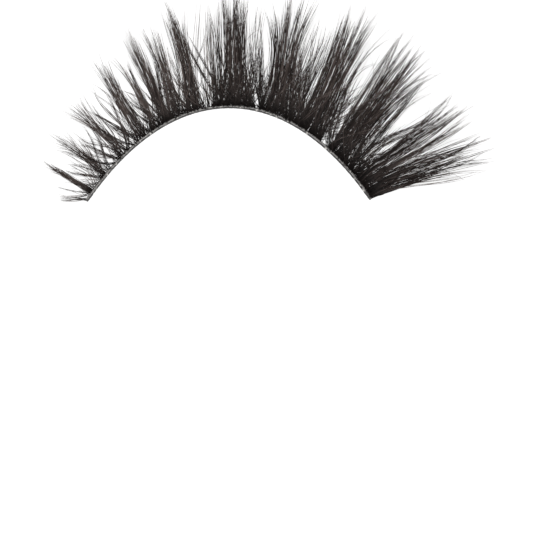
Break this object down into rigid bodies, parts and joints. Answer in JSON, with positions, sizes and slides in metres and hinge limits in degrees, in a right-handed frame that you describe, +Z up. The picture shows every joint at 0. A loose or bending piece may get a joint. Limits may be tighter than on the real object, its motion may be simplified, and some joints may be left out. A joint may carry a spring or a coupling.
{
  "type": "false eyelash strip",
  "caption": "Strip of false eyelashes: a clear curved band with dark locks of hair that fan out and curl up, longest towards the outer corner.",
  "frame": {"origin": "under the middle of the strip's outline, on the table it lies on", "axes": "+X towards the outer corner, +Y from the lid's edge out to the tips, +Z up, the way the hairs curl"},
  "size_m": [0.0446, 0.0212, 0.0058],
  "materials": {
    "band": "clear greyish nylon",
    "hair": "near-black tapered synthetic hair"
  },
  "bodies": {
    "root": {"band": "band", "lash_lock_01": "hair", "lash_lock_02": "hair", "lash_lock_03": "hair", "lash_lock_04": "hair", "lash_lock_05": "hair", "lash_lock_06": "hair", "lash_lock_07": "hair", "lash_lock_08": "hair", "lash_lock_09": "hair", "lash_lock_10": "hair", "lash_lock_11": "hair", "lash_lock_12": "hair", "lash_lock_13": "hair", "lash_lock_14": "hair", "lash_lock_15": "hair"}
  },
  "joints": []
}
